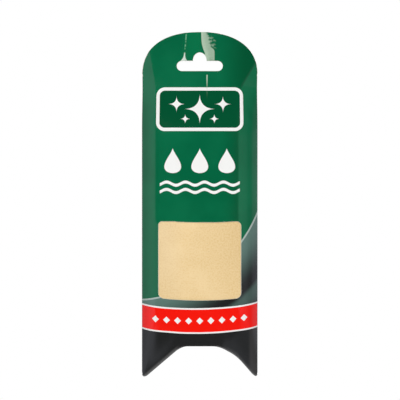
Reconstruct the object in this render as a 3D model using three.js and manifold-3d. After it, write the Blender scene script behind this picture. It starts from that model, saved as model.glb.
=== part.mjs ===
// A folded chamois leather in its hanging retail sleeve: a printed board blank, glued along one side
// and bulged by the leather, with a flat round-topped header, a peg slot, a cut-out window and a
// tucked closure at the foot. Millimetres, +Z up, the face with the window towards -Y.
// The origin is where a peg carries the pack: the top of the slot, midway between the two plies.
import * as THREE from "three";
import { mergeVertices } from "three/addons/utils/BufferGeometryUtils.js";
import Module from "manifold-3d";

const wasm = await Module();
wasm.setup();

// Sleeve
const PACK_WIDTH = 80.4; // seam to seam
const FACE_BULGE = 13; // how far the leather pushes each face out from the seams
const BOARD = 0.5; // thickness of the board
const FIT_GAP = 0.3; // clearance between pieces that lie against each other
const FACE_POWER = 6; // how square the bulged faces are across the width

// Header
const TOP_RISE = 14.1; // board above the peg
const TOP_ROUND = 30.1; // height of the rounded top
const TOP_POWER = 2.3; // 2 would be half an ellipse
const TAPER_START = 16; // from the peg down to where the faces part
const TAPER_LENGTH = 42; // from there down to the full bulge

// Peg slot
const SLOT_WIDTH = 32;
const SLOT_HEIGHT = 7.1;
const HUMP_WIDTH = 9.6;
const HUMP_RISE = 5.9; // peg notch above the long slot

// Window
const WINDOW_WIDTH = 56.7;
const WINDOW_HEIGHT = 54;
const WINDOW_DROP = 117.4; // from the peg to its top edge
const WINDOW_RADIUS = 2.5;
const WINDOW_BOW = 1.2; // sag of its lower edge

// Foot closure
const CREASE_DROP = 202.9; // from the peg to the level middle of the foot
const LEFT_SLOPE = 27.7; // from the left seam to where the crease starts to slope
const RIGHT_SLOPE = 27.2; // the same from the right seam
const STEEP_SLOPE = 14.7; // from the right seam to where the slope steepens
const STEEP_DROP = 7.2; // from the level middle down to there
const CORNER_DROP = 25; // from the level middle down to the two corners
const MOUTH_BLEND = 36; // height over which the faces take the shape of the foot
const FACET_GAP = 0.6; // between neighbouring facets of a flap
const FLAP_END_CUT = 2.5; // end of a flap, from the seam

// Side seam
const GLUE_FLAP_INSET = 0.8; // from the seam, seen from the front
const GLUE_FLAP_WIDTH = 5.6; // seen from the front; it lies on the steep side of the face
const GLUE_FLAP_SHORT = 6; // stops this much short of the full bulge and of the foot

// Leather
const FOLD_COUNT = 8; // passes of the concertina, each of three plies
const PASS_THICKNESS = 1.5;
const PASS_INSET = 12; // end of the outer passes' straight runs, from the seams
const PASS_BELLY = 2; // how much wider the inner passes are
const LEATHER_BELOW_TAPER = 1; // its top, under the full bulge
const LEATHER_GAP = 0.5; // between the outer passes and the faces

const halfWidth = PACK_WIDTH / 2;
const seamDepth = FIT_GAP / 2; // inner face of a ply, from the middle plane
const fullBulgeZ = -TAPER_START - TAPER_LENGTH;
const leftBend = -halfWidth + LEFT_SLOPE;
const rightBend = halfWidth - RIGHT_SLOPE;
const steepBend = halfWidth - STEEP_SLOPE;

// The crease of the foot: distance from the middle and drop, from the left corner to the right one.
const foot = [
  [-halfWidth, CORNER_DROP],
  [leftBend, 0],
  [rightBend, 0],
  [steepBend, STEEP_DROP],
  [halfWidth, CORNER_DROP],
];
const slopeOf = ([fromX, fromDrop], [toX, toDrop]) => (toDrop - fromDrop) / (toX - fromX);
const facetSlopes = foot.slice(1).map((point, i) => slopeOf(foot[i], point));
const upright = (slope) => BOARD * Math.hypot(1, slope); // upright thickness of sloping board
const flapPitch = upright(Math.max(...facetSlopes.map(Math.abs))) + FIT_GAP; // one flap layer, clear

const greenBoard = new THREE.MeshStandardMaterial({ color: 0x066e46, roughness: 0.3, metalness: 0 });
const charcoalBoard = new THREE.MeshStandardMaterial({ color: 0x2d2d2d, roughness: 0.35, metalness: 0 });
const rawBoard = new THREE.MeshStandardMaterial({ color: 0xd8d6cf, roughness: 0.8, metalness: 0 });
const chamois = new THREE.MeshStandardMaterial({ color: 0xeed59e, roughness: 0.95, metalness: 0 });

const smooth = (t) => THREE.MathUtils.smoothstep(t, 0, 1);

function footDrop(x) {
  const last = facetSlopes.length - 1;
  const facet = Math.min(last, foot.slice(1).filter(([end]) => end < x).length);
  return foot[facet][1] + (x - foot[facet][0]) * facetSlopes[facet];
}

// Outer face of the lowest flap: level in the middle, sloping down to the corners.
const footLine = (x) => -CREASE_DROP - footDrop(x);

// Depth of a face's inner side in front of the middle plane.
function innerDepth(x, z) {
  const across = Math.abs(x) / halfWidth;
  const body = 1 - across ** FACE_POWER;
  const mouth = 1 - footDrop(x) / CORNER_DROP;
  const section = THREE.MathUtils.lerp(mouth, body, smooth((z - footLine(x)) / MOUTH_BLEND));
  return seamDepth + FACE_BULGE * smooth((-TAPER_START - z) / TAPER_LENGTH) * section;
}

function solidFrom(geometry) {
  const bare = new THREE.BufferGeometry();
  const flat = geometry.index ? geometry.toNonIndexed() : geometry;
  bare.setAttribute("position", flat.getAttribute("position"));
  const merged = mergeVertices(bare, 1e-4);
  return new wasm.Manifold(
    new wasm.Mesh({
      numProp: 3,
      vertProperties: merged.attributes.position.array,
      triVerts: new Uint32Array(merged.index.array),
    }),
  );
}

function geometryFrom(solid) {
  const mesh = solid.getMesh();
  const geometry = new THREE.BufferGeometry();
  geometry.setAttribute("position", new THREE.BufferAttribute(mesh.vertProperties, 3));
  geometry.setIndex(new THREE.BufferAttribute(mesh.triVerts, 1));
  return geometry;
}

// A closed skin between two like grids of points, near and far, each a list of rows.
function skinBetween(near, far) {
  const rows = near.length;
  const columns = near[0].length;
  const points = [...far.flat(), ...near.flat()];
  const farAt = (row, column) => row * columns + column;
  const nearAt = (row, column) => rows * columns + farAt(row, column);
  const index = [];
  const quad = (a, b, c, d) => index.push(a, b, c, a, c, d);
  for (let row = 0; row + 1 < rows; row++) {
    for (let column = 0; column + 1 < columns; column++) {
      const next = column + 1;
      quad(farAt(row, column), farAt(row, next), farAt(row + 1, next), farAt(row + 1, column));
      quad(nearAt(row, next), nearAt(row, column), nearAt(row + 1, column), nearAt(row + 1, next));
    }
    const last = columns - 1;
    quad(nearAt(row, 0), farAt(row, 0), farAt(row + 1, 0), nearAt(row + 1, 0));
    quad(farAt(row, last), nearAt(row, last), nearAt(row + 1, last), farAt(row + 1, last));
  }
  for (let column = 0; column + 1 < columns; column++) {
    const next = column + 1;
    const last = rows - 1;
    quad(nearAt(0, column), nearAt(0, next), farAt(0, next), farAt(0, column));
    quad(farAt(last, column), farAt(last, next), nearAt(last, next), nearAt(last, column));
  }
  const geometry = new THREE.BufferGeometry();
  geometry.setAttribute("position", new THREE.Float32BufferAttribute(points.flat(), 3));
  geometry.setIndex(index);
  return geometry;
}

// Board that follows the front face, from one distance outside its inner side to another.
function faceSkin(columns, rows, nearOffset, farOffset) {
  const step = 0.01;
  const layer = (offset) =>
    rows.map((z) =>
      columns.map((x) => {
        const slopeX = (innerDepth(x + step, z) - innerDepth(x - step, z)) / (2 * step);
        const slopeZ = (innerDepth(x, z + step) - innerDepth(x, z - step)) / (2 * step);
        const length = Math.hypot(slopeX, 1, slopeZ);
        const out = offset / length;
        return [x - slopeX * out, -innerDepth(x, z) - out, z - slopeZ * out];
      }),
    );
  return skinBetween(layer(nearOffset), layer(farOffset));
}

const spread = (from, to, count) =>
  Array.from({ length: count + 1 }, (_, i) => THREE.MathUtils.lerp(from, to, i / count));

// Extrudes an outline drawn in X and Z along Y, between two depths.
function prism(shape, fromY, toY) {
  const geometry = new THREE.ExtrudeGeometry(shape, {
    depth: toY - fromY,
    bevelEnabled: false,
    curveSegments: 10,
  });
  geometry.rotateX(Math.PI / 2);
  geometry.translate(0, toY, 0);
  return solidFrom(geometry);
}

// Outline of a face: rounded header, straight seams and the foot, raised by the flaps under it.
function faceOutline(raise) {
  const shoulder = TOP_RISE - TOP_ROUND;
  const arcSteps = 36;
  const outline = new THREE.Shape();
  outline.moveTo(-halfWidth, footLine(-halfWidth) + raise);
  for (const [x] of foot.slice(1)) {
    outline.lineTo(x, footLine(x) + raise);
  }
  for (const angle of spread(0, Math.PI, arcSteps)) {
    const x = Math.sign(Math.cos(angle)) * Math.abs(Math.cos(angle)) ** (2 / TOP_POWER);
    const z = Math.abs(Math.sin(angle)) ** (2 / TOP_POWER);
    outline.lineTo(halfWidth * x, shoulder + TOP_ROUND * z);
  }
  return outline;
}

// Long round-ended slot with the peg's notch in the middle of its upper side.
function slotShape() {
  const shape = new THREE.Shape();
  const notch = HUMP_WIDTH / 2;
  const end = SLOT_HEIGHT / 2;
  const slotTop = -HUMP_RISE;
  const endX = SLOT_WIDTH / 2 - end;
  shape.moveTo(-endX, slotTop - SLOT_HEIGHT);
  shape.lineTo(endX, slotTop - SLOT_HEIGHT);
  shape.absarc(endX, slotTop - end, end, -Math.PI / 2, Math.PI / 2);
  shape.lineTo(notch, slotTop);
  shape.absellipse(0, slotTop, notch, HUMP_RISE, 0, Math.PI);
  shape.lineTo(-endX, slotTop);
  shape.absarc(-endX, slotTop - end, end, Math.PI / 2, Math.PI * 1.5);
  return shape;
}

function windowShape() {
  const shape = new THREE.Shape();
  const right = WINDOW_WIDTH / 2;
  const r = WINDOW_RADIUS;
  const top = -WINDOW_DROP;
  const low = top - WINDOW_HEIGHT + WINDOW_BOW;
  shape.moveTo(-right + r, low);
  shape.quadraticCurveTo(0, low - 2 * WINDOW_BOW, right - r, low);
  shape.quadraticCurveTo(right, low, right, low + r);
  shape.lineTo(right, top - r);
  shape.absarc(right - r, top - r, r, 0, Math.PI / 2);
  shape.lineTo(-right + r, top);
  shape.absarc(-right + r, top - r, r, Math.PI / 2, Math.PI);
  shape.lineTo(-right, low + r);
  shape.quadraticCurveTo(-right, low, -right + r, low);
  return shape;
}

// One face of the blank with its half of the header. Its foot is raised to clear the flaps below it.
function facePanel(raise) {
  const closer = (from, count) => // closer together towards the seams
    spread(0, 1, count).map((t) => THREE.MathUtils.lerp(from, halfWidth, 1 - (1 - t) ** 1.5));
  const left = closer(-leftBend, 11).map((x) => -x);
  const right = [...spread(rightBend, steepBend, 4).slice(0, -1), ...closer(steepBend, 8)];
  const columns = [...left.reverse(), ...right];
  const lowest = footLine(halfWidth);
  const blendTop = -CREASE_DROP + MOUTH_BLEND;
  const rows = [
    ...spread(lowest - BOARD, blendTop, 12),
    ...spread(blendTop, fullBulgeZ, 2).slice(1),
    ...spread(fullBulgeZ, -TAPER_START, 10).slice(1),
    TOP_RISE + BOARD,
  ];
  const depth = FACE_BULGE + PACK_WIDTH;
  const skin = solidFrom(faceSkin(columns, rows, 0, BOARD));
  const trimmed = skin.intersect(prism(faceOutline(raise), -depth, -seamDepth));
  return trimmed.subtract(prism(slotShape(), -depth, 0));
}

// A facet of a closure flap, closed: board over its plan outline, sloping with the foot line.
function flapFacet(fromX, toX, raise) {
  const plan = flapPlan(fromX, toX).map(([x, y]) => new THREE.Vector2(x, y));
  const depth = upright((footDrop(toX) - footDrop(fromX)) / (toX - fromX));
  const geometry = new THREE.ExtrudeGeometry(new THREE.Shape(plan), { depth, bevelEnabled: false });
  const position = geometry.getAttribute("position");
  for (let i = 0; i < position.count; i++) {
    position.setZ(i, position.getZ(i) + footLine(position.getX(i)) + raise);
  }
  return geometry;
}

// Plan outline of a flap between two distances from the middle: from its crease, on the outer side of
// its own face, across to just short of the other face.
function flapPlan(fromX, toX) {
  const crease = (x) => -innerDepth(x, footLine(x)) - BOARD;
  const free = (x) => Math.max(innerDepth(x, footLine(x)) - 2 * FIT_GAP, crease(x) + BOARD);
  return [
    [fromX, crease(fromX)],
    [toX, crease(toX)],
    [toX, free(toX)],
    [fromX, free(fromX)],
  ];
}

// Glued strip inside the right-hand seam, an extension of the back face.
function glueFlap() {
  const seamEdge = halfWidth - GLUE_FLAP_INSET;
  const columns = spread(seamEdge - GLUE_FLAP_WIDTH, seamEdge, 5);
  const rows = spread(-CREASE_DROP + GLUE_FLAP_SHORT, fullBulgeZ - GLUE_FLAP_SHORT, 10);
  return faceSkin(columns, rows, -FIT_GAP - BOARD, -FIT_GAP);
}

// Middle line of the folded leather seen from above: passes to and fro, joined by round turns.
function foldLine() {
  const passDepth = (x) => innerDepth(x, fullBulgeZ) - LEATHER_GAP - PASS_THICKNESS / 2;
  const runSteps = 8;
  const turnSteps = 5;
  const line = [];
  const layer = (pass) => -1 + (2 * pass) / (FOLD_COUNT - 1);
  const reach = (share) => halfWidth - PASS_INSET + PASS_BELLY * (1 - share * share);
  for (let pass = 0; pass < FOLD_COUNT; pass++) {
    const heading = pass % 2 ? -1 : 1;
    const share = layer(pass);
    const start = pass ? reach((share + layer(pass - 1)) / 2) : reach(share);
    const end = pass + 1 < FOLD_COUNT ? reach((share + layer(pass + 1)) / 2) : reach(share);
    for (const x of spread(-start * heading, end * heading, runSteps)) {
      line.push(new THREE.Vector2(x, share * passDepth(x)));
    }
    if (pass + 1 === FOLD_COUNT) break;
    const depth = passDepth(end);
    const radius = (depth * (layer(pass + 1) - share)) / 2;
    const centre = share * depth + radius;
    for (const angle of spread(-Math.PI / 2, Math.PI / 2, turnSteps).slice(1, -1)) {
      const x = (end + radius * Math.cos(angle)) * heading;
      line.push(new THREE.Vector2(x, centre + radius * Math.sin(angle)));
    }
  }
  return line;
}

// The leather: one unbroken folded band, standing on the closure and shaped by the sleeve around it.
function foldedLeather() {
  const line = foldLine();
  const half = PASS_THICKNESS / 2;
  const edge = (side) =>
    line.map((point, i) => {
      const before = line[Math.max(0, i - 1)];
      const after = line[Math.min(line.length - 1, i + 1)];
      const along = after.clone().sub(before).normalize();
      return [point.x + along.y * half * side, point.y - along.x * half * side];
    });
  const base = -CREASE_DROP + 2 * flapPitch;
  const top = fullBulgeZ - LEATHER_BELOW_TAPER;
  const rows = [...spread(base, -CREASE_DROP + MOUTH_BLEND, 4), top];
  const room = (x, z) => innerDepth(x, z) - LEATHER_GAP;
  const layer = (side) =>
    rows.map((z) => edge(side).map(([x, y]) => [x, (y * room(x, z)) / room(x, fullBulgeZ), z]));
  return skinBetween(layer(-1), layer(1));
}

function named(name, geometry, material) {
  const mesh = new THREE.Mesh(geometry, material);
  mesh.name = name;
  return mesh;
}

// The same shape on the other side of the middle plane.
function mirrored(geometry) {
  const bare = new THREE.BufferGeometry();
  bare.setAttribute("position", geometry.getAttribute("position"));
  if (geometry.index) bare.setIndex(geometry.index);
  const turned = mergeVertices(bare, 1e-4).scale(1, -1, 1);
  const corners = turned.index.array;
  for (let i = 0; i < corners.length; i += 3) {
    [corners[i], corners[i + 1]] = [corners[i + 1], corners[i]];
  }
  return turned;
}

const pack = new THREE.Group();

const windowCut = prism(windowShape(), -FACE_BULGE - PACK_WIDTH, 0);
const frontPanel = facePanel(flapPitch).subtract(windowCut);
pack.add(named("front_panel", geometryFrom(frontPanel), greenBoard));
pack.add(named("back_panel", mirrored(geometryFrom(facePanel(2 * flapPitch))), greenBoard));
pack.add(named("side_glue_flap", glueFlap(), rawBoard));
pack.add(named("leather", foldedLeather(), chamois));

// Each foot flap is four flat facets, each on its own straight crease. The front's are the outer layer.
const facetNames = ["left", "centre", "right_inner", "right_outer"];
facetNames.forEach((facet, i) => {
  const fromX = Math.max(foot[i][0] + FACET_GAP / 2, -halfWidth + FLAP_END_CUT);
  const toX = Math.min(foot[i + 1][0] - FACET_GAP / 2, halfWidth - FLAP_END_CUT);
  pack.add(named(`front_flap_${facet}`, flapFacet(fromX, toX, 0), charcoalBoard));
  pack.add(named(`back_flap_${facet}`, mirrored(flapFacet(fromX, toX, flapPitch)), charcoalBoard));
});

export default pack;
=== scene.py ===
import math

import bpy
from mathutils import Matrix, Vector, geometry, kdtree, noise


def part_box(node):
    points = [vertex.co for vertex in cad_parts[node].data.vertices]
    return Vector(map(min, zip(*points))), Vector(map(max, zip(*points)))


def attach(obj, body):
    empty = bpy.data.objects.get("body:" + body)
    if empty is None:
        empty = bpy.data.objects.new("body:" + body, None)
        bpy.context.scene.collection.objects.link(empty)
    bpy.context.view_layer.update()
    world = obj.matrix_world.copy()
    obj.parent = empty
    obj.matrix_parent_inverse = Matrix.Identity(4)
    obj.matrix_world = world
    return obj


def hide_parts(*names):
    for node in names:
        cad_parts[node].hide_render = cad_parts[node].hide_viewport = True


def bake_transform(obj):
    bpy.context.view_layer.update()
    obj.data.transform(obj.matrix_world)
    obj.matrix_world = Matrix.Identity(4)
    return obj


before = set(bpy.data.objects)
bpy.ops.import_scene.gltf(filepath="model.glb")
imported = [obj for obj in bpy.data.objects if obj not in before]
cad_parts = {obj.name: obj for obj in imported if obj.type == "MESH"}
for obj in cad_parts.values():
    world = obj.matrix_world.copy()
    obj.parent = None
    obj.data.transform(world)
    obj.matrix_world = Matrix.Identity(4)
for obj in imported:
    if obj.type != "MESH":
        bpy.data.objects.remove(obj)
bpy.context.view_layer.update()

# Front face of the sleeve
# One panel of a die-cut carton blank: 0.5 mm white-lined board, offset printed and varnished on one side.
# The leather behind bulges it out, the header above stays flat, and the slot and the window are punched out.
MM = 0.001
half_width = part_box("front_panel")[1][0]
top_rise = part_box("front_panel")[1][2]
board = 0.5 * MM
lap = 0.02 * MM  # each face stops this far from the middle plane
fold_round = 0.63 * MM  # outer radius of the folded seams
fold_fade = 2 * MM  # a seam passes into the header's cut edge over this much
bulge = 13 * MM
face_power = 6
face_wave = 0.12 * MM  # slight waves in the board
face_wave_scale = (38, 26)
face_wave_seed = 0.4
top_round = 30.1 * MM
top_power = 2.3
taper_start = 16 * MM
taper_length = 42 * MM
crease_drop = 202.9 * MM
left_bend = 12.5 * MM  # where the foot's crease bends down, from the middle
right_bend = 13 * MM
knee = 25.5 * MM  # where its right slope steepens
knee_drop = 7.2 * MM
corner_drop = 25 * MM
corner_tip = 4.5 * MM  # round end of the two corners
bend_soft = {-1: 4.5 * MM, 1: 0.3 * MM}  # the front's bends are spread this far, the back's are crisp
mouth_blend = 36 * MM
flap_pitch = 1.085 * MM  # one layer of the closure with its clearance
lip = 1.0 * MM  # board of a flap above its crease
shoulder = top_rise - top_round
left_slope = corner_drop / (half_width - left_bend)
right_slope = knee_drop / (knee - right_bend)
steeper = (corner_drop - knee_drop) / (half_width - knee) - right_slope


def smooth(low, high, value):
    """0 below low, 1 above high, and an even curve between."""
    share = min(1, max(0, (value - low) / (high - low)))
    return share * share * (3 - 2 * share)


def past_bend(distance, soft):
    """How far past a bend, which is spread over that much on both sides."""
    turning = min(max(distance, -soft), soft)
    return (turning + soft) ** 2 / (4 * soft) + max(0, distance - soft)


def foot_drop(x, soft):
    """How far the crease of the foot has dropped at x: one slope on the left, two on the right."""
    left = left_slope * past_bend(-x - left_bend, soft)
    right = right_slope * past_bend(x - right_bend, soft)
    return left + right + steeper * past_bend(x - knee, soft)


def foot_line(x, soft):
    """Height of the outer side of the lowest flap, rounded up at the corners."""
    past = max(0, abs(x) - half_width + corner_tip)
    tip = corner_tip - math.sqrt(max(0, corner_tip**2 - past**2))
    return -crease_drop - foot_drop(x, soft) + tip


def taper(z):
    """0 in the flat header and 1 below it, where the leather fills the pack."""
    return smooth(taper_start, taper_start + taper_length, -z)


def full_section(x):
    """Section of the filled pack, 1 in the middle and 0 at the seams."""
    return 1 - (abs(x) / half_width) ** face_power


def bulged(x, z, drop, foot):
    """How far a face stands out at a point over its foot, which is arched as its crease drops."""
    mouth = max(0, 1 - drop / corner_drop)
    share = smooth(0, mouth_blend, z - foot)
    return bulge * taper(z) * (mouth + (full_section(x) - mouth) * share)


def face_depth(x, z):
    """Outer side of a face, from the middle plane of the pack."""
    soft = bend_soft[-1]
    out = bulged(x, z, foot_drop(x, soft), foot_line(x, soft))
    past = min(1, max(0, (abs(x) - half_width + fold_round) / fold_round))
    folded = smooth(-fold_fade, fold_fade, shoulder - z)
    edge = 1 - folded * (1 - math.sqrt(1 - past * past))
    spot = Vector((x * face_wave_scale[0], z * face_wave_scale[1], face_wave_seed))
    wave = face_wave * noise.noise(spot) * taper(z) * full_section(x)
    return lap + fold_round * edge + out + wave


ridge_place = -10.3 * MM  # left of the slot's notch the board has a narrow ridge
ridge_height = 0.45 * MM
ridge_width = 1.1 * MM
hump_place = 6 * MM  # and right of it a wider hump, which leans
hump_level = 4 * MM
hump_lean = 0.22
hump_height = 0.7 * MM
hump_width = 3.4 * MM
dents_start = -8 * MM
dents_full = -5 * MM


def header_dents(x, z):
    """Soft buckles in the front of the header, where the peg has pulled at the slot."""
    ridge = ridge_height * math.exp(-(((x - ridge_place) / ridge_width) ** 2))
    slant = x - hump_place + hump_lean * (z - hump_level)
    hump = hump_height * math.exp(-((slant / hump_width) ** 2))
    return smooth(dents_start, dents_full, z) * (ridge + hump)


# Each side of the header is bent back along a line, which leans outwards above a height.
side_bends = {
    -1: {"slope": 0.72, "place": 31 * MM, "height": -22.7 * MM, "lean": 0.165},
    1: {"slope": 0.54, "place": 29 * MM, "height": -24 * MM, "lean": 0.59},
}
side_soft = 1.2 * MM
side_start = -52 * MM
side_full = -22 * MM


def seam_sweep(x, z):
    """How far the sides of the header bend back, both plies together."""
    bend = side_bends[-1 if x < 0 else 1]
    past = abs(x) - bend["place"] - max(0, z - bend["height"]) * bend["lean"]
    slope = bend["slope"] * smooth(-side_soft, side_soft, past)
    return slope * max(0, past + side_soft / 2) * smooth(side_start, side_full, z)


window_width = 56.7 * MM
window_height = 54 * MM
window_drop = 117.4 * MM
edge_lift = 0.32 * MM
lift_width = 2.8 * MM
lift_start = -3 * MM  # inside the window's upper and lower edges
lift_full = 4 * MM


def inside_window(z):
    """How far inside the window's upper and lower edges a height lies."""
    return window_height / 2 - abs(z + window_drop + window_height / 2)


def window_lift(x, z):
    """The free edges of the board beside the window, which the leather presses out."""
    beside = min(1, max(0, 1 - (abs(x) - window_width / 2) / lift_width))
    return edge_lift * beside**2 * smooth(lift_start, lift_full, inside_window(z))


def face_point(x, z, side, inset=0.0):
    """A point on the outer side of a face (side -1 front, 1 back), or inset below it along its normal."""
    def height(x, z):
        dents = header_dents(x, z) + window_lift(x, z) if side < 0 else 0
        return face_depth(x, z) + dents + side * seam_sweep(x, z)

    step = 0.02 * MM
    reach = half_width - 1e-7
    low, high = max(-reach, x - step), min(reach, x + step)
    slope_x = (height(high, z) - height(low, z)) / (high - low)
    slope_z = (height(x, z + step) - height(x, z - step)) / (2 * step)
    normal = Vector((-slope_x, 1, -slope_z)).normalized()
    place = Vector((x, height(x, z), z)) - normal * inset
    return Vector((place.x, side * place.y, place.z))


def spread(low, high, step):
    """Even places from low to high, about a step apart."""
    count = max(1, round(abs(high - low) / step))
    return [low + (high - low) * i / count for i in range(count + 1)]


slot_width = 32 * MM
slot_height = 7.1 * MM
notch_width = 9.6 * MM
notch_rise = 5.9 * MM
slot_end_steps = 14
notch_steps = 24


def arc(centre_x, centre_z, radius_x, radius_z, start, end, count):
    """Points of an elliptic arc, with its angles in quarter turns."""
    turns = [math.pi / 2 * (start + (end - start) * i / count) for i in range(count + 1)]
    return [(centre_x + radius_x * math.cos(a), centre_z + radius_z * math.sin(a)) for a in turns]


def slot_loop():
    """Round-ended slot with the notch of the peg in its upper side."""
    end = slot_height / 2
    middle = -notch_rise - end
    straight = slot_width / 2 - end
    lower = [(x, middle - end) for x in spread(-straight, straight, MM)]
    right = arc(straight, middle, end, end, -1, 1, slot_end_steps)
    notch = arc(0, -notch_rise, notch_width / 2, notch_rise, 0, 2, notch_steps)
    left = arc(-straight, middle, end, end, 1, 3, slot_end_steps)
    return lower[:-1] + right + notch + left[:-1]


window_rounds = {"low": 4 * MM, "top left": 2.5 * MM, "top right": 3.2 * MM}
window_bow = 1.2 * MM
window_sag = 0.3 * MM
sag_full = -5 * MM
window_nick = 0.35 * MM  # the punch left a small step in the upper edge
nick_start = -16.2 * MM
nick_end = -15.6 * MM
nick_return = 12 * MM  # from here to the corner the step runs out again
window_side_step = 1.5 * MM
corner_steps = 7


def window_loop():
    """Square window with round corners, a bowed lower edge and the punch's small step at the top."""
    half = window_width / 2
    foot = -window_drop - window_height
    low_end = half - window_rounds["low"]
    low_start = foot + window_bow + window_rounds["low"]
    left_end = window_rounds["top left"] - half
    right_end = half - window_rounds["top right"]
    lower = [(x, foot + window_bow * (x / low_end) ** 2) for x in spread(-low_end, low_end, MM)]
    upper = []
    for x in spread(left_end, right_end, MM):
        step = window_nick * (smooth(nick_start, nick_end, x) - smooth(nick_return, right_end, x))
        sag = window_sag * (1 - (x / right_end) ** 2) * smooth(nick_start, sag_full, x)
        upper.append((x, -window_drop - step - sag))

    def corner(x, z, name, start):
        radius = window_rounds[name]
        return arc(x, z, radius, radius, start, start + 1, corner_steps)

    low_right = corner(low_end, low_start, "low", -1)
    top_right = corner(right_end, -window_drop - window_rounds["top right"], "top right", 0)
    top_left = corner(left_end, -window_drop - window_rounds["top left"], "top left", 1)
    low_left = corner(-low_end, low_start, "low", 2)
    right_side = [(half, z) for z in spread(low_start, top_right[0][1], window_side_step)[1:-1]]
    left_side = [(-half, z) for z in spread(top_left[-1][1], low_start, window_side_step)[1:-1]]
    top = top_right + upper[::-1][1:-1] + top_left
    return lower[:-1] + low_right + right_side + top + left_side + low_left[:-1]


foot_step = 0.5 * MM
top_steps = 120
point_gap = 0.5 * MM  # points inside a face stay this far from its outline


def face_outline(rows, side, raised):
    """Outline of a face: foot, right seam, round header and left seam."""
    across = spread(-half_width, half_width, foot_step)
    foot = [(x, foot_line(x, bend_soft[side]) + raised) for x in across]
    lowest = foot[0][1]
    seam = [z for z in rows if lowest + point_gap < z < shoulder - point_gap]
    right = [(half_width, z) for z in seam]
    left = [(-half_width, z) for z in reversed(seam)]
    top = []
    for i in range(top_steps + 1):
        turn = math.pi * i / top_steps
        aside, up = math.cos(turn), math.sin(turn)
        x = math.copysign(abs(aside) ** (2 / top_power), aside)
        top.append((half_width * x, shoulder + top_round * up ** (2 / top_power)))
    return foot, right, top, left


def within(loop, x, z):
    """Whether a point lies inside a closed loop."""
    inside = False
    for (ax, az), (bx, bz) in zip(loop, loop[1:] + loop[:1]):
        if (az > z) != (bz > z) and x < ax + (bx - ax) * (z - az) / (bz - az):
            inside = not inside
    return inside


def inset_loop(loop, distance):
    """The loop moved to its left by a distance."""
    moved = []
    for i, (x, z) in enumerate(loop):
        ahead, behind = loop[(i + 1) % len(loop)], loop[i - 1]
        along = Vector((ahead[0] - behind[0], ahead[1] - behind[1]))
        if along.length > 0:
            along.normalize()
        moved.append((x - along.y * distance, z + along.x * distance))
    return moved


PRINTED, BARE, CUT, LAPPED = range(4)  # finishes of board; a lapped edge lies in its neighbour, printed


def put_in_scene(name, data):
    """An object of a mesh, lamp or camera, put into the scene."""
    made = bpy.data.objects.new(name, data)
    bpy.context.scene.collection.objects.link(made)
    return made


def board_object(name, points, faces, finish, wear):
    """A mesh of board, with the finish of each face and the wear of each point."""
    mesh = bpy.data.meshes.new(name)
    mesh.from_pydata(points, [], faces)
    mesh.polygons.foreach_set("material_index", [PRINTED if kind == LAPPED else kind for kind in finish])
    mesh.polygons.foreach_set("use_smooth", [kind in (PRINTED, BARE) for kind in finish])
    worn_and_highlit = mesh.attributes.new("wear", "FLOAT", "POINT")
    worn_and_highlit.data.foreach_set("value", wear)
    hard = mesh.attributes.new("sharp_edge", "BOOLEAN", "EDGE")
    rim = {key for polygon in mesh.polygons if finish[polygon.index] >= CUT for key in polygon.edge_keys}
    hard.data.foreach_set("value", [edge.key in rim for edge in mesh.edges])
    mesh.validate()
    return put_in_scene(name, mesh)


wear_width = 0.1 * MM  # the print is rubbed off this far from a cut edge
window_wear_and_highlight = 0.25 * MM  # and further round the window, partly rubbed where fingers feel the leather and partly a painted highlight along the window's edge
column_runs = ((0, 14, 0.9), (15, 26, 1.6), (27, 39, 0.8))  # from, to and step, in millimetres
seam_columns = (1, 0.75, 0.5, 0.28, 0.12, 0.03)  # from the seam, in shares of its radius
row_step = 1.8 * MM
merge_distance = 1e-9
least_area = 1e-12


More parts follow.
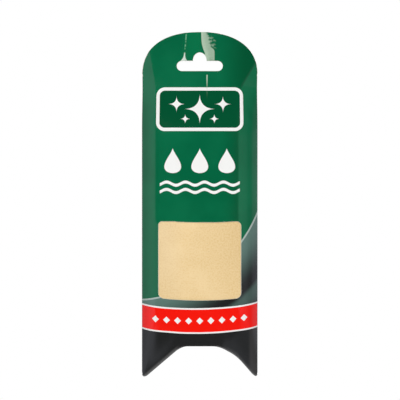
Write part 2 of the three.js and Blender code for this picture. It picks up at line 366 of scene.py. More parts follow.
def face_panel(name, side, raised, holes):
    """A face of the sleeve: board with two skins and a cut edge, printed outside and bare inside."""
    half_columns = [x for run in column_runs for x in spread(*(place * MM for place in run))]
    half_columns += [half_width - fold_round * share for share in seam_columns]
    columns = sorted({round(s * x, 7) for x in half_columns for s in (-1, 1)})
    rows = spread(-crease_drop - corner_drop - MM, top_rise, row_step)
    foot, right, top, left = face_outline(rows, side, raised)
    outline = foot + right + top + left
    points, edges, cut_points = [], [], set()
    for loop in [outline, *holes]:
        first = len(points)
        points += loop
        edges += [(first + i, first + (i + 1) % len(loop)) for i in range(len(loop))]
        if loop is not outline:
            cut_points.update(range(first, len(points)))
    cut_points.update(range(len(foot + right), len(foot + right + top)))

    worn = inset_loop(top, wear_width)[2:-2]
    for hole, width in zip(holes, (wear_width, window_wear_and_highlight)):
        worn += inset_loop(hole, -width)
    near = kdtree.KDTree(len(points) + len(worn))
    for i, (x, z) in enumerate(points + worn):
        # Columns lie close to the seams, so the seams' points are put out of the way here.
        seam = len(foot) <= i < len(foot + right) or len(foot + right + top) <= i < len(outline)
        near.insert((x, 0, z) if not seam else (0, 1, 0), i)
    near.balance()

    def on_board(x, z):
        return within(outline, x, z) and not any(within(hole, x, z) for hole in holes)

    grid = [(x, z) for x in columns for z in rows]
    inside = [(x, z) for x, z in grid if near.find((x, 0, z))[2] > point_gap and on_board(x, z)]
    flat = [Vector(p) for p in points + worn + inside]
    found = geometry.delaunay_2d_cdt(flat, edges, [], 0, merge_distance)
    plan, triangles, origins = found[0], found[2], found[3]
    kept = []
    for a, b, c in triangles:
        x, z = (plan[a] + plan[b] + plan[c]) / 3
        turned = (plan[b] - plan[a]).cross(plan[c] - plan[a])
        if abs(turned) < least_area or not on_board(x, z):
            continue
        kept.append((a, b, c) if (turned > 0) == (side < 0) else (a, c, b))

    used = sorted({i for triangle in kept for i in triangle})
    place = {old: new for new, old in enumerate(used)}
    count = len(used)
    skin = [face_point(*plan[i], side) for i in used]
    skin += [face_point(*plan[i], side, board) for i in used]
    faces, finish = [], []
    for triangle in kept:
        a, b, c = (place[i] for i in triangle)
        faces += [(a, b, c), (count + c, count + b, count + a)]
        finish += [PRINTED, BARE]
    directed = {(t[i], t[(i + 1) % 3]) for t in kept for i in range(3)}
    for a, b in sorted(directed):
        if (b, a) in directed:
            continue
        p, q = place[a], place[b]
        faces.append((q, p, count + p, count + q))
        finish.append(CUT)
    wear = [1.0 if any(o in cut_points for o in origins[i]) else 0.0 for i in used]
    return board_object(name, skin, faces, finish, wear + wear)


def operation(kind):
    """A method that adds a Math node of a kind."""
    return lambda field, *others: field.math(kind, field, *others)


class Field:
    """A socket of a node tree: a number, colour or vector that varies over a surface."""

    __add__ = __radd__ = operation("ADD")
    __sub__ = operation("SUBTRACT")
    __mul__ = __rmul__ = operation("MULTIPLY")
    __truediv__ = operation("DIVIDE")
    __pow__ = operation("POWER")
    __abs__ = operation("ABSOLUTE")
    least = operation("MINIMUM")
    most = operation("MAXIMUM")
    rounded = operation("ROUND")
    sine = operation("SINE")
    turned_from = operation("ARCTAN2")

    def __init__(self, tree, socket=None):
        self.tree = tree
        self.socket = socket

    def node(self, kind, settings=None, inputs=None, out=0):
        """Add a node: its settings first, then the values or links of its sockets."""
        made = self.tree.nodes.new(kind)
        for name, setting in (settings or {}).items():
            setattr(made, name, setting)
        for name, content in (inputs or {}).items():
            if isinstance(content, Field):
                self.tree.links.new(content.socket, made.inputs[name])
            else:
                made.inputs[name].default_value = content
        return Field(self.tree, made.outputs[out] if made.outputs else None)

    def math(self, kind, *terms):
        return self.node("ShaderNodeMath", {"operation": kind}, dict(enumerate(terms)))

    def __rsub__(self, other):
        return self.math("SUBTRACT", other, self)

    def rise(self, low, high):
        """0 at low and 1 at high, smoothly; the other way round where low is the higher."""
        settings = {"interpolation_type": "SMOOTHSTEP"}
        return self.node("ShaderNodeMapRange", settings, {"Value": self, "From Min": low, "From Max": high})

    def between(self, begin, full, last, end):
        """1 from full to last, falling smoothly to 0 at begin and at end."""
        return self.rise(begin, full) * self.rise(end, last)

    def over(self, under, paint):
        """Paint over a colour where this mask is 1."""
        return self.node("ShaderNodeMix", {"data_type": "RGBA"}, {0: self, 6: under, 7: paint}, out=2)

    def parts(self):
        return [self.node("ShaderNodeSeparateXYZ", inputs={0: self}, out=i) for i in range(3)]

    def grain(self, scale, detail=2.0, roughness=0.5):
        """Cloudy noise over this vector."""
        inputs = {"Vector": self, "Scale": scale, "Detail": detail, "Roughness": roughness}
        return self.node("ShaderNodeTexNoise", inputs=inputs)

    def stretched(self, x, y, z):
        """This vector with its axes scaled."""
        return self.node("ShaderNodeVectorMath", {"operation": "MULTIPLY"}, {0: self, 1: (x, y, z)})

    def bumped(self, strength, distance):
        """The surface's normal, roughened by this height."""
        inputs = {"Strength": strength, "Distance": distance, "Height": self}
        return self.node("ShaderNodeBump", inputs=inputs)


def colour(red, green, blue):
    """A colour from its screen values, 0 to 255."""
    shares = [c / 255 for c in (red, green, blue)]
    return (*[c / 12.92 if c < 0.04045 else ((c + 0.055) / 1.055) ** 2.4 for c in shares], 1.0)


def blank_material(name, uv=None):
    """A new material's first field, and the places on its piece: by its UV, or else in metres."""
    made = bpy.data.materials.new(name)
    made.use_nodes = True
    made.node_tree.nodes.clear()
    start = Field(made.node_tree)
    if uv:
        return start, start.node("ShaderNodeUVMap", {"uv_map": uv})
    return start, start.node("ShaderNodeTexCoord", out="Object")


def finished(name, start, inputs):
    """A material named name, with its shader's sockets given."""
    shader = start.node("ShaderNodeBsdfPrincipled", inputs=inputs)
    start.node("ShaderNodeOutputMaterial", inputs={"Surface": shader})
    return bpy.data.materials[name]


green = colour(0, 101, 64)
green_lit = colour(5, 110, 71)
# ink of the plate, and also painted shade on the green ground's right
green_deep = colour(0, 84, 50)
green_highlight = colour(5, 117, 73)
charcoal = colour(36, 37, 37)
slate_green = colour(96, 126, 117)
pale_streak = colour(196, 208, 203)
strip_grey = colour(92, 89, 87)
print_white = colour(250, 250, 248)
band_red = colour(254, 21, 4)
glint_pale = colour(194, 214, 190)
crack_and_glint_green = colour(122, 192, 152)
flare_white = colour(230, 243, 233)
fold_grey = colour(116, 116, 115)
bare_board = colour(232, 228, 216)

print_soft = 0.1  # half the blur of a printed edge; places in the print are in millimetres
shade_span = (12, 34)  # painted shade: the green deepens to the right, as far as the header's right bend
shade_end = {"place": 26.5, "height": -29, "lean": 0.59, "soft": 0.8}
highlight_across = (-13, -6, -1, 3)  # and a painted highlight makes it brighter above the slot on the front
highlight_height = (-7, 1)
highlight_share = 0.8


def green_ground(at, x, z, facing):
    """The green ground of the print, a little cloudy, with painted shade towards the right and a painted
    highlight above the slot on the front.
    """
    ink = at.grain(28, 3).rise(0.35, 0.65).over(green, green_lit)
    past = x - shade_end["place"] - (z - shade_end["height"]).most(0) * shade_end["lean"]
    # painted shade: deeper green towards the header's right bend
    ink = (x.rise(*shade_span) * past.rise(shade_end["soft"], -shade_end["soft"])).over(ink, green_deep)
    if facing > 0:
        # painted highlight: brighter green above the slot
        bright = x.between(*highlight_across) * z.rise(*highlight_height)
        ink = (bright * highlight_share).over(ink, green_highlight)
    return ink


sweep_centre = (-54, -70)  # the dark sweep's edge is a round arc
sweep_radius = 103
sweep_soft = 0.15
sweep_haze = (22, 1)  # paler near its edge
sweep_streaks = ((24, 28, 30, 40, 0.5, slate_green), (46, 50, 52, 60, 0.16, pale_streak))
sweep_rule = (-0.9, -0.6, 0.2, 0.5)
rule_share = 0.8


def dark_sweep(x, z, ink):
    """The dark ground at the lower right, with pale streaks along its edge."""
    inside = ((x - sweep_centre[0]) ** 2 + (z - sweep_centre[1]) ** 2) ** 0.5 - sweep_radius
    below = z.rise(sweep_centre[1], sweep_centre[1] - 1)
    dark = inside.rise(*sweep_haze).over(charcoal, slate_green)
    for *places, share, paint in sweep_streaks:
        dark = (inside.between(*places) * share).over(dark, paint)
    ink = (inside.rise(-sweep_soft, sweep_soft) * below).over(ink, dark)
    return (inside.between(*sweep_rule) * below * rule_share).over(ink, pale_streak)


foot_ground = (-184, -188)  # the ground turns dark here, behind the red band
strip_span = (33, 36)  # a paler strip along the right seam
strip_share = 0.27
flex_height = (3.6, 0.8)  # over the foot's crease
flex_left = (-13, -19)
flex_right = (14, 22)
flex_right_share = 0.4


def above_foot(right, z):
    """Height over the foot's crease, in millimetres, with right to the pack's right."""
    left_drop = (0 - right - left_bend / MM).most(0) * left_slope
    right_drop = (right - right_bend / MM).most(0) * right_slope
    return z + crease_drop / MM + left_drop + right_drop + (right - knee / MM).most(0) * steeper


def dark_foot(at, right, x, z, ink):
    """The dark ground of the foot, flexed pale along its crease."""
    below_band = z.rise(*foot_ground)
    ink = below_band.over(ink, charcoal)
    ink = (below_band * x.rise(*strip_span) * strip_share).over(ink, strip_grey)
    flexed = above_foot(right, z).rise(*flex_height)
    flexed = flexed * (x.rise(*flex_left) + x.rise(*flex_right) * flex_right_share)
    return (flexed * (0.3 + at.grain(700, 3, 0.7) * 0.6)).over(ink, fold_grey)


plate_height = -40
plate_half = (30, 15.5)
plate_round = 6
plate_rule = 2.3
plate_stars = ((0, 0, 11), (16, 3.5, 6), (10, -7, 3.6))  # place from the plate's middle, and reach
star_soft = 0.04


def framed_plate(x, z, ink):
    """A plate with round corners and a white frame, and in it four-pointed stars."""
    out_x = (abs(x) - (plate_half[0] - plate_round)).most(0)
    out_z = (abs(z - plate_height) - (plate_half[1] - plate_round)).most(0)
    outside = (out_x * out_x + out_z * out_z) ** 0.5 - plate_round
    ink = outside.rise(print_soft, -print_soft).over(ink, print_white)
    ink = (outside + plate_rule).rise(print_soft, -print_soft).over(ink, green_deep)
    for across, rise, reach in plate_stars:
        arms = abs(abs(x) - across) ** 0.5 + abs(z - (plate_height + rise)) ** 0.5
        ink = arms.rise(reach**0.5 + star_soft, reach**0.5 - star_soft).over(ink, print_white)
    return ink


drop_height = -75.5
drop_pitch = 18.5
drop_half = (5.9, 8.8)
drop_widest = 1.3  # of the drop's curve, before it is scaled
drop_soft = 0.35
wave_heights = (-91.5, -96.5)
wave_length = 13
wave_rise = 1.1
wave_half = 1.05
wave_soft = (-0.1, 0.15)
wave_end = (27.6, 27.2)


def drops_over_waves(x, z, ink):
    """Three drops in a row over two wavy lines."""
    near = (x / drop_pitch).rounded().most(-1).least(1)
    up = ((z - drop_height) / drop_half[1]).most(-1).least(1)
    width = (1 - up * up).most(0) ** 0.5 * (1 - up) * (drop_half[0] / drop_widest)
    marks = (width - abs(x - near * drop_pitch)).rise(0.0, drop_soft)
    ripple = (x * (math.tau / wave_length)).sine() * wave_rise
    for height in wave_heights:
        line = wave_half - abs(z - height - ripple)
        marks = marks.most(line.rise(*wave_soft) * abs(x).rise(*wave_end))
    return marks.over(ink, print_white)


band_reach = 40  # the band's lines rise from the middle to here, each by its own bow
band_lean = 0.014
band_top = {"bow": 2.95, "height": -177.75}
band_foot = {"bow": 2.8, "height": -193.2}
band_rule = 1.05
diamond_row = {"bow": 2.9, "height": -185.5}
diamond_pitch = 7.6
diamond_half = (2.5, 2.2)
diamonds_aside = 4


def red_band(right, x, z, ink):
    """The red band over the foot, with white edges and a row of diamonds."""
    rise = (x / band_reach) ** 2
    level = z - right * band_lean

    def over_line(line):
        return level - (rise * line["bow"] + line["height"])

    outside = over_line(band_top).most(0 - over_line(band_foot))
    ink = (outside - band_rule).rise(print_soft, -print_soft).over(ink, print_white)
    ink = outside.rise(print_soft, -print_soft).over(ink, band_red)
    near = (x / diamond_pitch).rounded().most(-diamonds_aside).least(diamonds_aside)
    diamonds = abs(x - near * diamond_pitch) + abs(over_line(diamond_row))
    return diamonds.rise(*diamond_half).over(ink, print_white)


slot_top = -notch_rise / MM
crack_place = -9.95  # the pale crack at the notch's left, partly whitened varnish and partly painted highlight, runs almost upright
crack_height = 5.8
crack_lean = 0.0865
crack_half = 0.4
crack_span = (0.8, 4, 11.6, 13.6)
flare_height = (0.5, -0.8)  # below, it flares out to the slot
flare_spread = 2
# painted highlight: a pale patch right of the notch, with a ragged right edge
patch_left = {"place": 0.94, "height": 14.2, "reach": 14.6, "curve": 0.00082}
patch_right = {"place": 8.5, "flare": 1.9, "flare_height": (4.8, 0.3), "height": 4.5, "lean": 0.27}
ragged_height = (1.5, 4.5)
tooth_length = 7
fringe_width = 3.4
fringe_end = (12.5, 10)
glint_place = 5.05  # a thin pale line below the slot
glint_half = 0.4
glint_fade = (-36, -14)
glint_end = (-15.2, -16.2)


def header_glints_and_crack(at, x, z):
    """Painted highlights round the slot, a pale patch and a thin glint, and a pale crack line that is partly
    whitened varnish and partly painted highlight: how much, and in what colour.
    """
    crack = abs(x - crack_place - (z - crack_height) * crack_lean)
    flare = z.rise(*flare_height)
    spike = (z / slot_top).most(0).least(1)
    line = (crack_half + spike**3 * flare_spread - crack).rise(-0.3, 0.35) * z.rise(slot_top - 0.6, slot_top)
    dots = at.stretched(1, 1, 2).grain(430, 3, 0.7).rise(0.4, 0.58) * z.between(*crack_span)
    line = line * (dots * 0.9 * (1 - flare) + flare)

    down = (patch_left["height"] - z).least(patch_left["reach"])
    left = x - patch_left["place"] - down**3 * patch_left["curve"]
    ragged = z.rise(*ragged_height)
    teeth = (at.stretched(0.2, 1, 1).grain(760, 3, 0.65) - 0.5) * tooth_length * ragged
    right = patch_right["place"] + patch_right["flare"] * z.rise(*patch_right["flare_height"])
    right = right - (z - patch_right["height"]).most(0) * patch_right["lean"] + teeth - x
    held = left.rise(-0.15, 0.35) * z.rise(slot_top - 0.7, slot_top + 0.1)
    patch = held * right.rise(-0.2, 0.5 + ragged * 1.2)
    patch = patch * (0.62 + 0.2 * left.rise(4.5, 0.5)) * (0.84 + at.grain(900, 3, 0.6) * 0.32)
    patch_fringe = held * (right + fringe_width).rise(0, 1.5) * ragged * z.rise(*fringe_end)
    patch = patch.most(patch_fringe * at.stretched(0.6, 1, 1).grain(700, 3, 0.7).rise(0.42, 0.75) * 0.6)

    glint = (glint_half - abs(x - glint_place)).rise(-0.2, 0.2)
    glint = glint * z.rise(*glint_fade) ** 2 * z.rise(*glint_end) * 0.95
    glint_and_crack_mask = (line * 0.85).most(patch).most(glint)
    glint_and_crack_tint = crack.rise(3.5, 3).over(glint_pale, crack_and_glint_green)
    return glint_and_crack_mask, (line * flare).over(glint_and_crack_tint, flare_white)


def printed_side(name, facing):
    """The printed and varnished side: facing is 1 on the front and -1 on the back."""
    start, at = blank_material(name)
    east, _, up = at.parts()
    right = east * (1 / MM)
    x = right * facing
    z = up * (1 / MM)
    ink = green_ground(at, x, z, facing)
    ink = dark_sweep(x, z, ink)
    ink = dark_foot(at, right, x, z, ink)
    ink = framed_plate(x, z, ink)
    ink = drops_over_waves(x, z, ink)
    ink = red_band(right, x, z, ink)
    glint_and_crack_mask = 0
    if facing > 0:
        # painted highlights and a pale crack on the front's header, laid over the print
        glint_and_crack_mask, glint_and_crack_colour = header_glints_and_crack(at, x, z)
        ink = glint_and_crack_mask.over(ink, glint_and_crack_colour)

    speckle = at.grain(1500, 4, 0.7)
    worn_and_highlit = start.node("ShaderNodeAttribute", {"attribute_name": "wear"}, out="Fac")
    # bare board at the cut edges: rubbed print, and round the window also a painted highlight
    worn_and_highlit = (worn_and_highlit + speckle * 0.5).rise(0.75, 1.0)
    ink = worn_and_highlit.over(ink, bare_board)
    scuffs = at.stretched(1, 1, 0.12).grain(260, 4, 0.75).rise(0.62, 0.8)
    sheen = 0.13 + at.grain(60, 2) * 0.05 + scuffs * 0.1 + glint_and_crack_mask * 0.25 + worn_and_highlit * 0.5
    normal = (at.grain(420, 2) * 0.6 + speckle * 0.4).bumped(0.06, 0.02 * MM)
    return finished(name, start, {"Base Color": ink, "Roughness": sheen, "Normal": normal})


pulp_shade = colour(221, 216, 203)
fibre_pale = colour(250, 247, 238)
speck_brown = colour(150, 140, 122)


def bare_side(name, tint):
    """Unprinted board: pressed pulp with short fibres and specks."""
    start, at = blank_material(name)
    pulp = at.grain(90, 3)
    fibre = at.stretched(1, 1, 0.3).grain(2400, 3, 0.6)
    tone = pulp.rise(0.3, 0.7).over(tint, pulp_shade)
    tone = (fibre.rise(0.55, 0.75) * 0.35).over(tone, fibre_pale)
    tone = (at.grain(900, 1).rise(0.72, 0.78) * 0.5).over(tone, speck_brown)
    normal = (fibre + pulp * 0.5).bumped(0.35, 0.05 * MM)
    return finished(name, start, {"Base Color": tone, "Roughness": 0.82 + fibre * 0.1, "Normal": normal})


inside_board = bare_side("inside_board", bare_board)
cut_board = bare_side("cut_board", colour(240, 236, 224))


def dress(piece, body, slot, *materials):
    """Give a piece its materials and body; the slot is not used."""
    for material in materials:
        piece.data.materials.append(material)
    if body:
        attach(piece, body)


front = face_panel("sleeve_front", -1, lip, [slot_loop(), window_loop()])
dress(front, "sleeve", "printed_board", printed_side("front_print", 1), inside_board, cut_board)
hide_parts("front_panel")

# Back face of the sleeve
# The blank's other panel, the same board and print without a window, folded over at the left seam
# and glued at the right one. Its half of the header lies flat against the front's.
back = face_panel("sleeve_back", 1, flap_pitch + lip, [slot_loop()])
dress(back, "sleeve", "printed_board", printed_side("back_print", -1), inside_board, cut_board)
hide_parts("back_panel")

# Glue flap
# A bare strip of the back panel's edge, folded in behind the front face and glued along the right seam.
# It is plain hidden board, so the solid itself stays and only gets the board's material.
glue_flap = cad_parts["side_glue_flap"]
glue_flap.data.materials.clear()
glue_flap.data.materials.append(inside_board)

# Foot flaps
# The ends of the two faces, creased and tucked in to close the sleeve. Each is four facets on straight
# creases: a level middle, a left slope and two right ones. The back's lie inside the front's, bare board up.
crease_round = 0.7 * MM
crease_steps = 8
facet_gap = 0.02 * MM
facet_overlap = 0.4 * MM
overlap_start = 3 * MM  # over the board, from the edge of the lip
wing_ends = {-1: half_width - 0.15 * MM, 1: half_width - 0.9 * MM}  # the outer layer reaches the seams
free_gap = 0.6 * MM
least_flap = 0.1 * MM
column_step = 0.4 * MM
flap_steps = 30
slope_step = 0.1 * MM
steepest = 1.6  # a sloping flap's board counts as at most this much thicker, measured upright
settle_width = 4 * MM  # a facet is flat past this far from its crease
bend_width = 2.2 * MM
crisp = 0.001 * MM  # a bend that is hardly spread


def facet_spans(end):
    """From where to where across the pack each facet of a flap goes."""
    gap = facet_gap / 2
    return {
        "left": (-end, -left_bend - gap),
        "centre": (-left_bend + gap, right_bend - gap),
        "right_inner": (right_bend + gap, knee - gap),
        "right_outer": (knee + gap, end),
    }


def flat_level(x, past, crease):
    """Height of a flap's outer side: from its crease, with its bends, to flat facets."""
    facet = -crease_drop - foot_drop(x, crisp)
    return crease + (facet - crease) * smooth(0, settle_width, past)


def flap_path(x, side, raised):
    """Across a flap at x, from its lip to its free edge: outer points, inner points and distances."""
    soft = bend_soft[side]
    low = foot_line(x, soft) + raised
    slope = (foot_line(x + slope_step, soft) - foot_line(x - slope_step, soft)) / (2 * slope_step)
    thick = min(board * math.hypot(1, slope), steepest * board)
    depth = face_depth(x, low + lip)
    begin = -depth + crease_round
    middle = low + crease_round
    free = max(depth - board - free_gap, begin + least_flap)
    outer = [(-depth, low + lip)]
    inner = [(-depth + board, low + lip)]
    for i in range(crease_steps + 1):
        turn = math.pi / 2 * i / crease_steps
        back, down = math.cos(turn), math.sin(turn)
        outer.append((begin - crease_round * back, middle - crease_round * down))
        inner.append((begin - (crease_round - board) * back, middle - (crease_round - thick) * down))
    for i in range(1, flap_steps + 1):
        past = (free - begin) * i / flap_steps
        level = raised + flat_level(x, past, low - raised)
        outer.append((begin + past, level))
        inner.append((begin + past, level + thick))
    distances = [0.0]
    for (ay, az), (by, bz) in zip(outer, outer[1:]):
        distances.append(distances[-1] + math.hypot(by - ay, bz - az))
    flip = -side
    return [(x, flip * y, z) for y, z in outer], [(x, flip * y, z) for y, z in inner], distances


def carried_on(edge, before):
    """A facet's edge moved on past the bend in its own plane, so that open facets leave no slit."""
    outer, inner, distances = edge
    moved = []
    for here, earlier in ((outer, before[0]), (inner, before[1])):
        line = []
        for p, q, distance in zip(here, earlier, distances):
            reach = facet_overlap * smooth(overlap_start, overlap_start + settle_width, distance)
            share = reach / abs(p[0] - q[0])
            line.append(tuple(a + (a - b) * share for a, b in zip(p, q)))
        moved.append(line)
    return (*moved, distances)


def foot_flap(name, side, raised, span):
    """One facet of a flap as a closed piece of board with its lip, and places over the board as its UV."""
    columns = [flap_path(x, side, raised) for x in spread(*span, column_step)]
    first_edge, last_edge = (CUT if abs(x) == wing_ends[side] else LAPPED for x in span)
    if first_edge == LAPPED:
        columns[0] = carried_on(columns[0], columns[1])
    if last_edge == LAPPED:
        columns[-1] = carried_on(columns[-1], columns[-2])
    steps = len(columns[0][0])
    points = [p for outer, _, _ in columns for p in outer]
    points += [p for _, inner, _ in columns for p in inner]
    half = len(points) // 2
    faces, finish = [], []

    def add(kind, a, b, c, d):
        faces.append((a, b, c, d) if side < 0 else (d, c, b, a))
        finish.append(kind)

    last = steps - 1
    for i in range(len(columns) - 1):
        here, there = i * steps, (i + 1) * steps
        for j in range(last):
            add(PRINTED, here + j, here + j + 1, there + j + 1, there + j)
            add(BARE, half + here + j, half + there + j, half + there + j + 1, half + here + j + 1)
        add(CUT, here, there, half + there, half + here)
        add(CUT, here + last, half + here + last, half + there + last, there + last)
    end = (len(columns) - 1) * steps
    for j in range(last):
        add(first_edge, j, half + j, half + j + 1, j + 1)
        add(last_edge, end + j, end + j + 1, half + end + j + 1, half + end + j)
    piece = board_object(name, points, faces, finish, [0.0] * len(points))
    unrolled = [(p[0], d) for outer, _, distances in columns for p, d in zip(outer, distances)] * 2
    layer = piece.data.uv_layers.new(name="board")
    for loop in piece.data.loops:
        layer.data[loop.index].uv = unrolled[loop.vertex_index]
    return piece


foot_cloud = colour(48, 50, 50)
foot_scuff = colour(120, 120, 118)
crack_past = (2.8, 1.2)  # over the board from the lip, in millimetres
crack_aside = (9, 16)  # from the middle


def flap_print(name):
    """Dark print on the flaps, a little scuffed, and cracked pale along the crease."""
    start, place = blank_material(name, "board")
    across, along, _ = place.parts()
    speckle = place.grain(1500, 4, 0.7)
    ink = place.grain(45, 2).rise(0.35, 0.7).over(charcoal, foot_cloud)
    cracked = (along * (1 / MM)).rise(*crack_past) * abs(across * (1 / MM)).rise(*crack_aside)
    cracked = cracked * (0.35 + place.grain(700, 3, 0.7) * 0.6)
    ink = cracked.over(ink, fold_grey)
    scuffs = place.stretched(0.15, 1, 1).grain(300, 4, 0.75).rise(0.6, 0.8)
    ink = (scuffs * 0.2).over(ink, foot_scuff)
    sheen = 0.2 + cracked * 0.3 + scuffs * 0.2
    normal = (place.grain(420, 2) * 0.6 + speckle * 0.4).bumped(0.08, 0.02 * MM)
    return finished(name, start, {"Base Color": ink, "Roughness": sheen, "Normal": normal})


foot_print = flap_print("foot_print")


def crease_bend(piece, side, span):
    """Two points across a facet's crease, between which its board turns: past its lip, and further in."""
    ends = [Vector(flap_path(x, side, 0)[0][0]) for x in span]
    along = (ends[1] - ends[0]).normalized()
    inward = Vector((0, -side, 0))
    turn = inward - Vector((0, 0, 1))
    turn = (turn - along * turn.dot(along)).normalized()
    count = len(piece.data.vertices) // 2
    steps = len(flap_path(span[0], side, 0)[0])
    lips = [piece.data.vertices[i].co for start in (0, count) for i in range(start, start + count, steps)]
    first = max(lips, key=lambda place: place.dot(turn))
    return first, first + turn * bend_width


for flap, side, raised in (("front", -1, 0.0), ("back", 1, flap_pitch)):
    for facet, span in facet_spans(wing_ends[side]).items():
        body = f"{flap}_flap_{facet}"
        piece = foot_flap(f"foot_{flap}_{facet}", side, raised, span)
        dress(piece, None, "foot_board", foot_print, inside_board, cut_board)
        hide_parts(body)
        bend_start, bend_end = crease_bend(piece, side, span)
        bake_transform(piece)

# Chamois leather
# One oil-tanned sheepskin split with a sueded nap on both sides, folded in three from top to bottom
# and then to and fro in eight passes, and slid into the sleeve from its foot.
leather_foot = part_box("leather")[0][2]
leather_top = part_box("leather")[1][2]
passes = 8
plies = 3
leather_thick = 0.72 * MM
ply_pitch = 0.88 * MM
pass_inset = 12 * MM
pass_belly = 2 * MM
pass_step = 2.6 * MM
pass_turn_steps = 9
ply_step = 3.2 * MM
ply_turn_steps = 8
skin_edge = 2 * MM  # the skin's own edge lies this far past the first pass, behind the board
face_gap = 0.15 * MM  # from the middle plane to a flat face's inner side, on the solids
leather_gap = 0.15 * MM
bundle_half = (plies - 1) / 2 * ply_pitch + leather_thick / 2
full_depth = -taper_start - taper_length


def leather_room(x, z):
    """Half the space between the faces that the leather may fill, on the CAD section of the sleeve."""
    drop = foot_drop(x, crisp)
    return face_gap + bulged(x, z, drop, -crease_drop - drop) - leather_gap


def pass_line():
    """Middle of the folded bundle seen from above, as points a few millimetres apart."""
    def depth(x):
        return leather_room(x, full_depth) - bundle_half

    def layer(number):
        return -1 + 2 * number / (passes - 1)

    def reach(share):
        return half_width - pass_inset + pass_belly * (1 - share * share)

    line = []
    for number in range(passes):
        heading = 1 if number % 2 == 0 else -1
        share = layer(number)
        begin = reach((share + layer(number - 1)) / 2) if number else reach(share) + skin_edge
        end = reach((share + layer(number + 1)) / 2) if number + 1 < passes else reach(share)
        line += [Vector((x * heading, share * depth(x))) for x in spread(-begin, end, pass_step)]
        if number + 1 == passes:
            break
        radius = depth(end) * (layer(number + 1) - share) / 2
        middle = share * depth(end) + radius
        for i in range(1, pass_turn_steps):
            turn = math.pi * (i / pass_turn_steps - 0.5)
            line.append(Vector(((end + radius * math.cos(turn)) * heading, middle + radius * math.sin(turn))))
    return line


def ply_line():
    """Up and down the folded plies: distance off the bundle's middle, height, and the way its face looks."""
    radius = ply_pitch / 2
    top, foot = leather_top - radius - leather_thick / 2, leather_foot + radius + leather_thick / 2
    line = []
    for ply in range(plies):
        off = (ply - (plies - 1) / 2) * ply_pitch
        falling = ply % 2 == 0
        heights = spread(foot, top, ply_step)
        face = Vector((1, 0)) if falling else Vector((-1, 0))
        line += [(Vector((off, z)), face) for z in (reversed(heights) if falling else heights)]
        if ply + 1 == plies:
            break
        centre = Vector((off + radius, foot if falling else top))
        down = -1 if falling else 1
        for i in range(1, ply_turn_steps):
            turn = math.pi * i / ply_turn_steps
            out = Vector((-math.cos(turn), down * math.sin(turn)))
            line.append((centre + out * radius, -out if falling else out))
    return line


window_swell = 0.5 * MM  # the leather presses out into the window this far
swell_sides = 6 * MM
swell_ends = 4 * MM
swell_layers = 0.6  # only layers further out than this share of the depth


def swelling(x, y, z):
    """How far the outer layers press forwards into the window and under the lifted edges beside it."""
    inside_x = window_width / 2 + lift_width - abs(x)
    outer = smooth(swell_layers, 1, -y / leather_room(x, z))
    return window_swell * smooth(0, swell_sides, inside_x) * smooth(0, swell_ends, inside_window(z)) * outer


crumple = 0.3 * MM  # soft unevenness of the folded skin
crumple_scale = (45, 30)
crumple_seed = 7.0
crumple_shares = (0.4, 0.6)  # how much of it goes sideways and upwards


def folded_leather():
    """The whole skin as one closed sheet, folded both ways and pressed to the shape of the sleeve."""
    across = pass_line()
    down = ply_line()
    normals = []
    for i in range(len(across)):
        along = (across[min(i + 1, len(across) - 1)] - across[max(i - 1, 0)]).normalized()
        normals.append(Vector((along.y, -along.x)))
    lengths = [[0.0], [0.0]]
    for run, path in zip(lengths, (across, [p for p, _ in down])):
        for a, b in zip(path, path[1:]):
            run.append(run[-1] + (b - a).length)

    def placed(i, j, side):
        (off, z), face = down[j]
        off += side * face.x * leather_thick / 2
        z += side * face.y * leather_thick / 2
        spot = Vector((lengths[0][i] * crumple_scale[0], lengths[1][j] * crumple_scale[1], crumple_seed))
        soft = crumple * noise.noise(spot)
        x, y = across[i] + normals[i] * off
        y *= leather_room(x, z) / leather_room(x, full_depth)
        free = max(0, min(1, (leather_room(x, z) - abs(y)) / MM))
        depth = y + soft * free - swelling(x, y, z)
        return (x + soft * crumple_shares[0], depth, z + soft * crumple_shares[1])

    rows, columns = len(across), len(down)
    points = [placed(i, j, side) for side in (1, -1) for i in range(rows) for j in range(columns)]
    half = rows * columns
    faces = []
    for i in range(rows - 1):
        for j in range(columns - 1):
            a, b = i * columns + j, i * columns + j + 1
            c, d = b + columns, a + columns
            faces.append((a, d, c, b))
            faces.append((half + a, half + b, half + c, half + d))
    loop = list(range(columns))
    loop += [i * columns + columns - 1 for i in range(1, rows)]
    loop += [(rows - 1) * columns + j for j in range(columns - 2, -1, -1)]
    loop += [i * columns for i in range(rows - 2, 0, -1)]
    for a, b in zip(loop, loop[1:] + loop[:1]):
        faces.append((a, b, half + b, half + a))
    mesh = bpy.data.meshes.new("chamois_leather")
    mesh.from_pydata(points, [], faces)
    mesh.polygons.foreach_set("use_smooth", [True] * len(faces))
    layer = mesh.uv_layers.new(name="skin")
    for corner in mesh.loops:
        vertex = corner.vertex_index % half
        layer.data[corner.index].uv = (lengths[0][vertex // columns], lengths[1][vertex % columns])
    return put_in_scene("chamois_leather", mesh)


suede_tan = colour(242, 210, 154)
suede_light = colour(251, 222, 171)
suede_shaded = colour(234, 206, 160)
suede_warm = colour(228, 195, 138)
nap_light = colour(248, 225, 180)
nap_dark = colour(218, 182, 126)
fibre_tan = colour(228, 196, 142)
pore_brown = colour(142, 112, 78)
suede_sheen = colour(255, 240, 212)
shaded_edge = (0.024, 0.007)  # painted shade at the window's left side: along the skin from its own edge, in metres
# painted shade at the window's right side, along the skin in metres
shaded_stretch = (0.03, 0.057, 0.072, 0.112)


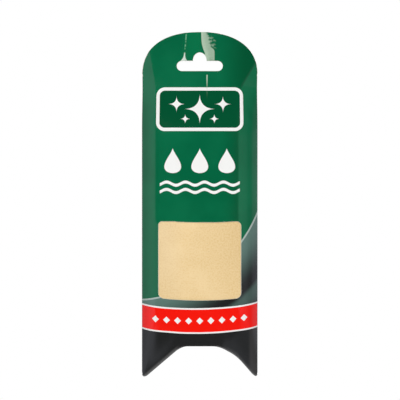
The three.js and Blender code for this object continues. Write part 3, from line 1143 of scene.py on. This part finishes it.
def suede(name):
    """Sueded chamois: short nap brushed into clouds, fine fibres, and a few pores, with painted shade towards
    the window's left and right sides.
    """
    start, skin = blank_material(name, "skin")
    along, _, _ = skin.parts()
    clouds = skin.grain(70, 3, 0.55)
    nap = skin.grain(900, 4, 0.62)
    fibre = skin.stretched(1, 0.45, 1).grain(3200, 3, 0.7)
    tone = clouds.rise(0.3, 0.7).over(suede_tan, suede_light)
    # painted shade: darker towards the window's left side
    tone = (along.rise(*shaded_edge) * 0.6).over(tone, suede_shaded)
    # warm clouds of the skin, and painted shade towards the window's right side
    mottle_and_shade = skin.grain(16, 1).rise(0.42, 0.62) * 0.45 + along.between(*shaded_stretch) * 0.55
    tone = mottle_and_shade.over(tone, suede_warm)
    tone = (nap.rise(0.35, 0.62) * 0.4).over(tone, nap_light)
    tone = (nap.rise(0.5, 0.3) * 0.2).over(tone, nap_dark)
    tone = (fibre.rise(0.45, 0.7) * 0.2).over(tone, fibre_tan)
    cells = {"Vector": skin, "Scale": 240.0, "Randomness": 1.0}
    pores = start.node("ShaderNodeTexVoronoi", inputs=cells, out="Distance")
    pores = pores.rise(0.09, 0.03) * skin.grain(120, 1).rise(0.56, 0.62)
    tone = (pores * 0.5).over(tone, pore_brown)
    height = nap * 0.7 + fibre * 0.3 - pores * 0.4
    return finished(
        name,
        start,
        {
            "Base Color": tone,
            "Roughness": 0.9 + fibre * 0.1,
            "Normal": height.bumped(0.5, 0.25 * MM),
            "Specular IOR Level": 0.15,
            "Sheen Weight": 0.12,
            "Sheen Roughness": 0.6,
            "Sheen Tint": suede_sheen,
        },
    )


leather = folded_leather()
dress(leather, "leather", "chamois", suede("chamois_suede"))
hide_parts("leather")

# Studio
# The pack hangs in front of white. Soft lamps light it evenly; white cards at both sides show in the varnish,
# and the room behind the camera is dark. The pale floor lies below the leather's lowest place.
floor_height = -0.5
floor_reach = 0.7
floor_sides = 96
floor_fade = (0.3, 0.62)  # out to the white of the room, as the camera sees it
paper_shade = colour(240, 240, 239)
paper_white = colour(246, 246, 245)
white = (1, 1, 1, 1)


def pale_floor():
    """A round sheet of pale paper, which doesn't show from below or in the varnish."""
    mesh = bpy.data.meshes.new("floor")
    rim = [math.tau * i / floor_sides for i in range(floor_sides)]
    points = [(floor_reach * math.cos(a), floor_reach * math.sin(a), floor_height) for a in rim]
    mesh.from_pydata(points, [], [tuple(range(floor_sides))])
    start, at = blank_material("pale_floor")
    east, north, _ = at.parts()
    far = ((east**2 + north**2) ** 0.5).rise(*floor_fade)
    paper = at.grain(300, 3).rise(0.3, 0.7).over(paper_shade, paper_white)
    matt = start.node("ShaderNodeBsdfDiffuse", inputs={"Color": paper})
    bright = start.node("ShaderNodeEmission", inputs={"Color": white, "Strength": 1.0})
    seen_far = far * start.node("ShaderNodeLightPath", out="Is Camera Ray")
    mixed = start.node("ShaderNodeMixShader", inputs={0: seen_far, 1: matt, 2: bright})
    clear = start.node("ShaderNodeBsdfTransparent")
    under = start.node("ShaderNodeNewGeometry", out="Backfacing")
    seen = start.node("ShaderNodeMixShader", inputs={0: under, 1: mixed, 2: clear})
    start.node("ShaderNodeOutputMaterial", inputs={"Surface": seen})
    mesh.materials.append(bpy.data.materials["pale_floor"])
    floor = put_in_scene("floor", mesh)
    floor.visible_glossy = False


pale_floor()

ambient = 0.4
room_dark = 0.02
card_white = (0.97, 1, 1.15, 1)
card_left = 0.66
left_edge = (-52, -58)  # degrees round the pack from the camera, below 0 on the left
left_fade = (-72, -125)
left_fade_share = 0.6
card_low = 0.62  # a further card low on the left, which begins nearer the camera
low_edge = (-22, -50)
low_heights = (-0.2, -0.45)  # the upward part of the direction
card_right = 0.34
right_edge = (26, 31)
right_dip = (62, 80, 94, 104)
right_dip_share = 0.55
right_upper = (0.06, 0.1)
right_upper_share = 0.4
right_lower = (-0.2, -0.4)
right_lower_share = 0.55
dark_behind = (160, 140)


def studio_world():
    """White to the camera, an even grey to matt surfaces, and white cards in a dark room to the varnish."""
    world = bpy.data.worlds.new("studio")
    world.use_nodes = True
    world.node_tree.nodes.clear()
    bpy.context.scene.world = world
    start = Field(world.node_tree)
    looking = start.node("ShaderNodeTexCoord", out="Generated")
    east, north, up = looking.parts()
    angle = east.turned_from(0 - north) * (180 / math.pi)
    left = angle.rise(*left_edge) * card_left * (1 - left_fade_share * angle.rise(*left_fade))
    left = left.most(angle.rise(*low_edge) * up.rise(*low_heights) * card_low)
    right = angle.rise(*right_edge) * card_right * (1 - right_dip_share * angle.between(*right_dip))
    right = right * (1 - right_upper_share * up.rise(*right_upper))
    right = right * (1 - right_lower_share * up.rise(*right_lower))
    cards = (left + right) * abs(angle).rise(*dark_behind) + room_dark
    camera = start.node("ShaderNodeLightPath", out="Is Camera Ray")
    glossy = start.node("ShaderNodeLightPath", out="Is Glossy Ray")
    strength = camera + (1 - camera) * (glossy * cards + (1 - glossy) * ambient)
    tint = glossy.over(white, card_white)
    light = start.node("ShaderNodeBackground", inputs={"Color": tint, "Strength": strength})
    start.node("ShaderNodeOutputWorld", inputs={"Surface": light})


studio_world()
pack_middle = Vector((0, 0, -0.1))


def soft_lamp(name, place, size, power):
    """A large soft lamp that gives shape to the light without a mirror image in the varnish."""
    lamp = bpy.data.lights.new(name, "AREA")
    lamp.shape = "SQUARE"
    lamp.size = size
    lamp.energy = power
    stand = put_in_scene(name, lamp)
    stand.location = place
    stand.rotation_euler = (pack_middle - Vector(place)).to_track_quat("-Z", "Y").to_euler()
    stand.visible_glossy = False


soft_lamp("key", (-0.55, -1.25, 0.55), 0.8, 9.4)
soft_lamp("fill", (0.75, -1.15, 0.1), 0.9, 5.0)
soft_lamp("behind", (0.2, 1.3, 0.5), 0.9, 9)

camera_distance = 0.8
camera_aside = 0.00017
camera_height = -0.1027
frame_width = 0.2784  # what the photograph takes in at the middle plane
sensor = 36.0
view = bpy.data.cameras.new("camera")
view.sensor_fit = "HORIZONTAL"
view.sensor_width = sensor
view.lens = sensor * camera_distance / frame_width
camera = put_in_scene("camera", view)
camera.location = (camera_aside, -camera_distance, camera_height)
camera.rotation_euler = (math.pi / 2, 0, 0)
bpy.context.scene.camera = camera
bpy.context.scene.view_settings.view_transform = "Standard"
